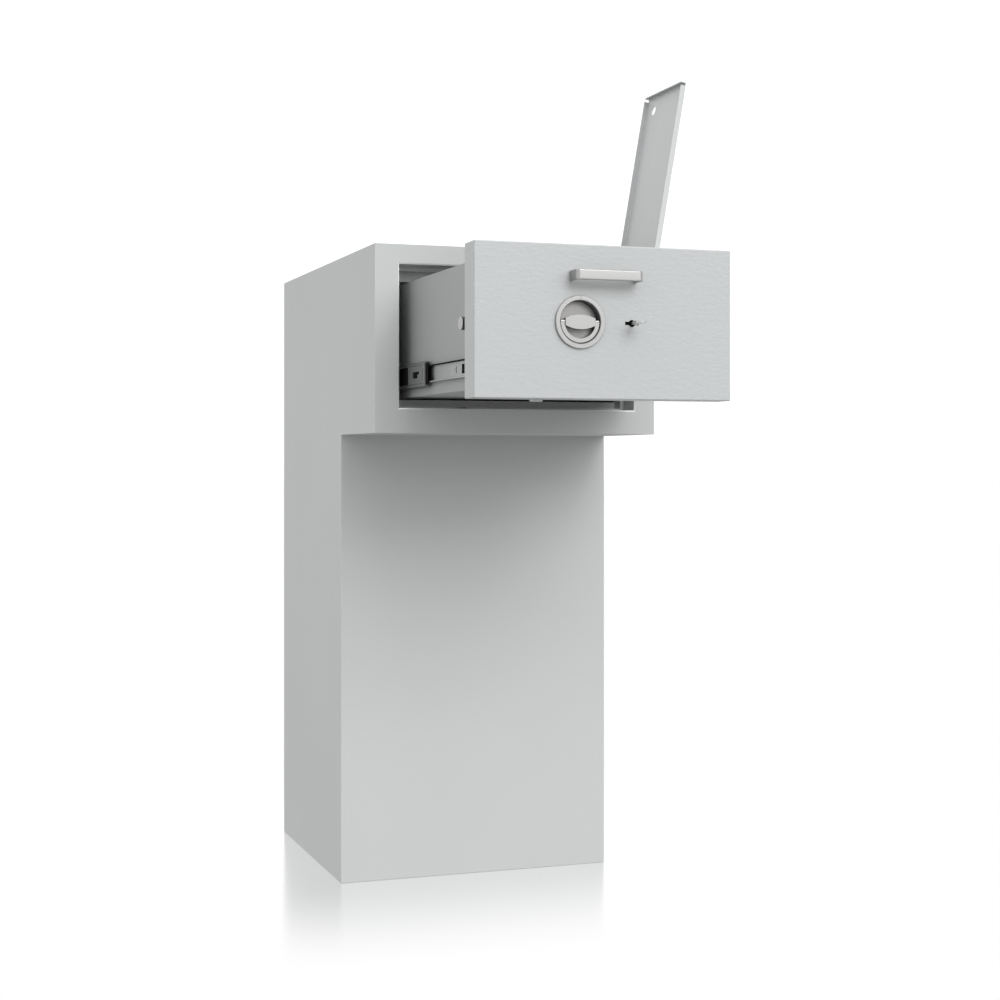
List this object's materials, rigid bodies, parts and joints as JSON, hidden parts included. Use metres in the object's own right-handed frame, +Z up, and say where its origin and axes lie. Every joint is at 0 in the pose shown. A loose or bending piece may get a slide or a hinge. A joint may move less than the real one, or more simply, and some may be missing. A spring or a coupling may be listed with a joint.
{
  "type": "drop safe with deposit drawer",
  "caption": "Under-counter drop safe: an overhanging head with a telescopic deposit drawer, its hinged compartment lid, turning knob, bolts and key lock, over a vault with a rear door.",
  "frame": {"origin": "centre of the underside of the base, which is the narrow lower part and not the overhanging head", "axes": "+Z up, -Y out of the drawer's front, +X to the right as seen from the front"},
  "size_m": [0.455, 1.0313, 1.2064],
  "materials": {
    "casing_paint": "light grey textured powder coat",
    "inner_paint": "light grey smooth powder coat",
    "zinc_steel": "zinc plated sheet steel",
    "satin_metal": "satin nickel plated metal",
    "plain_steel": "plain machined steel",
    "key_steel": "nickel plated key, dark from use",
    "cast_filling": "rough grey mineral casting, hidden between the shells"
  },
  "bodies": {
    "cabinet": {"side_panel_left": "casing_paint", "side_panel_right": "casing_paint", "top_panel": "casing_paint", "head_frame": "casing_paint", "overhang_panel": "casing_paint", "knee_panel": "casing_paint", "back_panel": "casing_paint", "base_plate": "casing_paint", "strike_frame": "inner_paint", "chamber_side_left": "inner_paint", "chamber_side_right": "inner_paint", "chamber_roof": "inner_paint", "chamber_floor": "inner_paint", "chamber_rear_wall": "inner_paint", "vault_side_left": "inner_paint", "vault_side_right": "inner_paint", "vault_front_wall": "inner_paint", "vault_floor": "inner_paint", "wall_filling": "cast_filling", "deposit_chute": "zinc_steel", "slide_cabinet_left": "zinc_steel", "slide_cabinet_right": "zinc_steel", "flap_bracket": "zinc_steel", "flap_pin": "plain_steel", "door_frame": "inner_paint", "door_hinge_lower": "plain_steel", "door_hinge_upper": "plain_steel"},
    "slide_middles": {"slide_middle_left": "zinc_steel", "slide_middle_right": "zinc_steel"},
    "drawer": {"slide_drawer_left": "zinc_steel", "slide_drawer_right": "zinc_steel", "drawer_front": "casing_paint", "front_back_plate": "zinc_steel", "hard_plate": "plain_steel", "drawer_side_left": "inner_paint", "drawer_side_right": "inner_paint", "drawer_floor": "inner_paint", "bolt_cover_wall": "inner_paint", "tray_wall": "inner_paint", "lid_divider": "inner_paint", "lid_hinge_pin": "plain_steel", "pull_handle": "satin_metal", "knob_rosette": "satin_metal", "lock_case": "zinc_steel"},
    "compartment_lid": {"drawer_lid": "inner_paint"},
    "knob": {"turn_knob": "satin_metal", "knob_spindle": "plain_steel"},
    "bail": {"knob_bail": "satin_metal"},
    "left_bolt": {"bolt_left": "satin_metal"},
    "right_bolt": {"bolt_right": "satin_metal"},
    "lower_bolt": {"bolt_bottom": "satin_metal"},
    "drawer_key": {"key": "key_steel"},
    "drawer_lock_bolt": {"lock_bolt": "satin_metal"},
    "flap": {"sweep_flap": "zinc_steel"},
    "rear_door": {"door_plate": "casing_paint", "door_box": "inner_paint", "door_lock_case": "zinc_steel"},
    "rear_bolts": {"door_bolt_bar": "satin_metal"},
    "rear_handle": {"door_handle": "satin_metal", "door_spindle": "plain_steel"}
  },
  "joints": [
    {"name": "middle_slide", "type": "slide", "parent": "cabinet", "child": "slide_middles", "axis": [0, -1, 0], "range_m": [-0.17, 0.055]},
    {"name": "drawer_slide", "type": "slide", "parent": "slide_middles", "child": "drawer", "axis": [0, -1, 0], "range_m": [-0.17, 0.055]},
    {"name": "lid_hinge", "type": "hinge", "parent": "drawer", "child": "compartment_lid", "pos_m": [0.0928, -0.64, 0.9433], "axis": [0, 1, 0], "range_deg": [-99.9, 0]},
    {"name": "knob_turn", "type": "hinge", "parent": "drawer", "child": "knob", "pos_m": [-0.0356, -0.7555, 0.8617], "axis": [0, 1, 0], "range_deg": [0, 90]},
    {"name": "bail_fold", "type": "hinge", "parent": "knob", "child": "bail", "pos_m": [-0.0356, -0.7551, 0.8625], "axis": [-1, 0, 0], "range_deg": [0, 90]},
    {"name": "left_bolt_slide", "type": "slide", "parent": "drawer", "child": "left_bolt", "axis": [-1, 0, 0], "range_m": [0, 0.018]},
    {"name": "right_bolt_slide", "type": "slide", "parent": "drawer", "child": "right_bolt", "axis": [1, 0, 0], "range_m": [0, 0.018]},
    {"name": "lower_bolt_slide", "type": "slide", "parent": "drawer", "child": "lower_bolt", "axis": [0, 0, -1], "range_m": [0, 0.018]},
    {"name": "key_turn", "type": "hinge", "parent": "drawer", "child": "drawer_key", "pos_m": [0.0406, -0.7555, 0.8616], "axis": [0, 1, 0], "range_deg": [0, 180]},
    {"name": "lock_bolt_slide", "type": "slide", "parent": "drawer", "child": "drawer_lock_bolt", "axis": [-1, 0, 0], "range_m": [0, 0.008]},
    {"name": "flap_swing", "type": "hinge", "parent": "cabinet", "child": "flap", "pos_m": [0.002, -0.2415, 0.959], "axis": [1, 0, 0], "range_deg": [0, 75]},
    {"name": "door_swing", "type": "hinge", "parent": "cabinet", "child": "rear_door", "pos_m": [0.16, 0.2198, 0.36], "axis": [0, 0, -1], "range_deg": [0, 110]},
    {"name": "handle_turn", "type": "hinge", "parent": "rear_door", "child": "rear_handle", "pos_m": [0.002, 0.2118, 0.36], "axis": [0, 1, 0], "range_deg": [0, 90]},
    {"name": "rear_bolts_slide", "type": "slide", "parent": "rear_door", "child": "rear_bolts", "axis": [-1, 0, 0], "range_m": [0, 0.018]}
  ],
  "couplings": [
    {"joint": "left_bolt_slide", "follows": "knob_turn", "m_per_rad": 0.011459},
    {"joint": "right_bolt_slide", "follows": "knob_turn", "m_per_rad": 0.011459},
    {"joint": "lower_bolt_slide", "follows": "knob_turn", "m_per_rad": 0.011459},
    {"joint": "lock_bolt_slide", "follows": "key_turn", "m_per_rad": 0.002546},
    {"joint": "rear_bolts_slide", "follows": "handle_turn", "m_per_rad": 0.011459}
  ]
}
